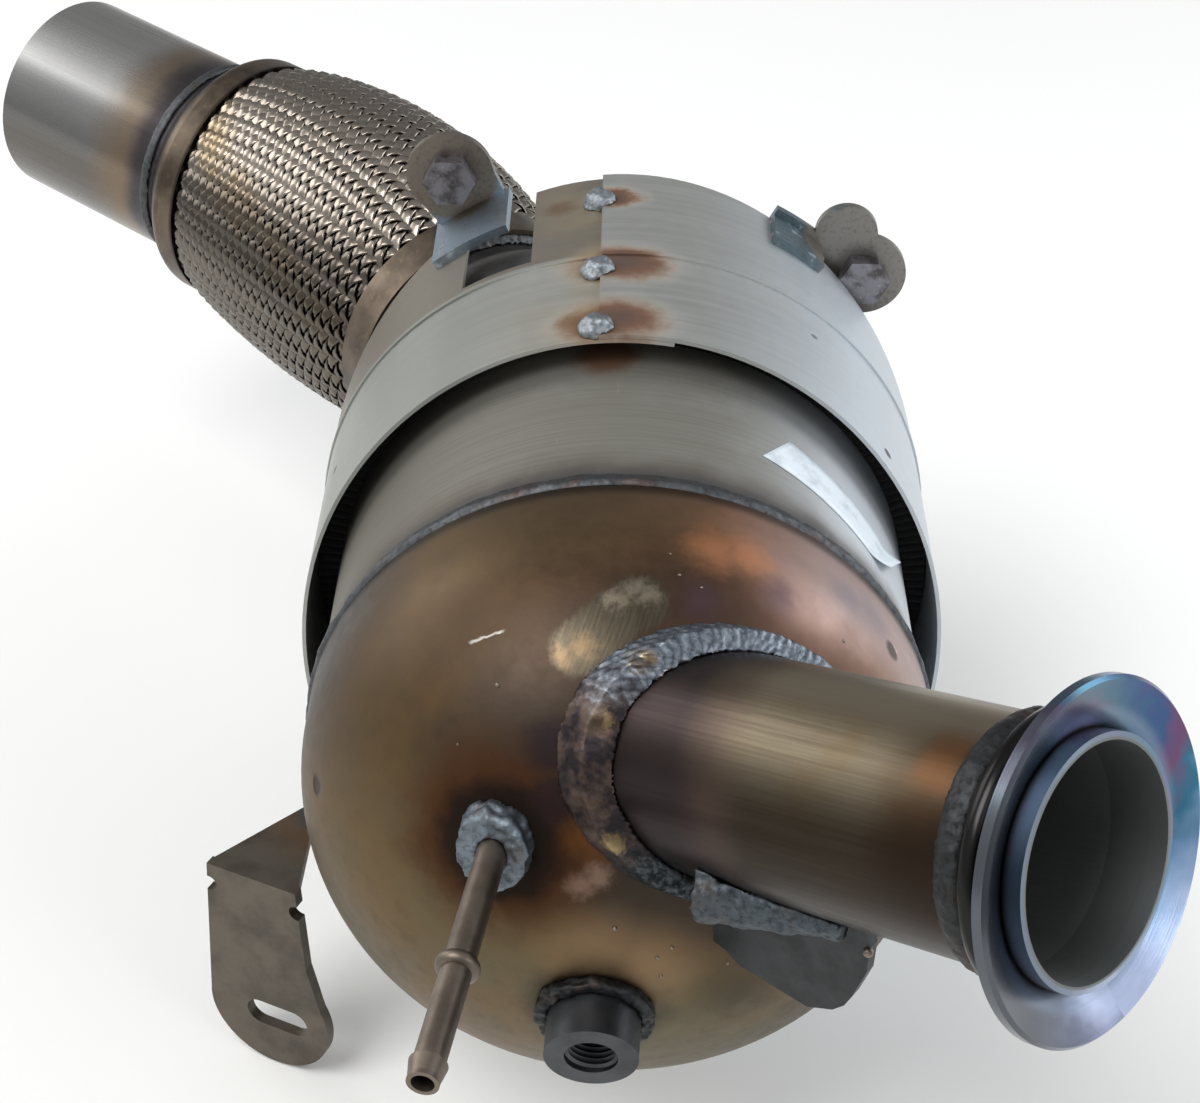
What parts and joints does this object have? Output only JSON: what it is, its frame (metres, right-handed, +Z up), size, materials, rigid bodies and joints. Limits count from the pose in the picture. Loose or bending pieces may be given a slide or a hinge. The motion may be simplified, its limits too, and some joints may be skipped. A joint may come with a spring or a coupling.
{
  "type": "diesel particulate filter",
  "caption": "Exhaust particulate filter: canned filter block with a domed inlet cap, V-band inlet pipe, wrapped heat shield, sensor ports and a braided flexible outlet.",
  "frame": {"origin": "centre of the inlet mouth, on the plane of the lip", "axes": "+Y along the can axis towards the outlet, +Z up as pictured, +X towards the inlet side"},
  "size_m": [0.3326, 0.4797, 0.2111],
  "materials": {
    "can_steel": "taupe stainless sheet",
    "cap_steel": "heat tinted stainless pressing",
    "weld_metal": "dark rippled weld",
    "pipe_steel": "heat tinted brushed pipe",
    "flange_steel": "turned steel with temper colours",
    "boss_steel": "black turned steel",
    "shield_sheet": "satin aluminised sheet",
    "bracket_steel": "pressed steel",
    "bolt_steel": "zinc plated",
    "braid_wire": "woven stainless wire",
    "flex_steel": "heat tinted stainless",
    "outlet_steel": "bright drawn tube",
    "filter_ceramic": "porous silicon carbide",
    "mat_fibre": "ceramic fibre mat",
    "seal_mesh": "knitted wire"
  },
  "bodies": {
    "root": {"can_shell": "can_steel", "outlet_cone": "can_steel", "inlet_cap": "cap_steel", "rim_weld": "weld_metal", "inlet_pipe_weld": "weld_metal", "flange_weld": "weld_metal", "gusset_weld": "weld_metal", "pressure_pipe_weld": "weld_metal", "sensor_boss_weld": "weld_metal", "shield_tack_welds": "weld_metal", "bracket_weld": "weld_metal", "outlet_cone_weld": "weld_metal", "flex_collar_weld": "weld_metal", "outlet_pipe_weld": "weld_metal", "inlet_pipe": "pipe_steel", "pipe_gusset": "pipe_steel", "pressure_pipe": "pipe_steel", "inlet_flange": "flange_steel", "sensor_boss": "boss_steel", "heat_shield": "shield_sheet", "mounting_bracket": "bracket_steel", "left_tab": "bracket_steel", "right_tab": "bracket_steel", "left_tab_bolt": "bolt_steel", "right_tab_bolt": "bolt_steel", "flex_braid": "braid_wire", "shield_spacer": "braid_wire", "flex_near_collar": "flex_steel", "flex_far_cap": "flex_steel", "flex_liner": "flex_steel", "flex_bellows": "flex_steel", "outlet_pipe": "outlet_steel", "filter_block": "filter_ceramic", "support_mat": "mat_fibre", "front_seal_ring": "seal_mesh", "rear_seal_ring": "seal_mesh"}
  },
  "joints": []
}
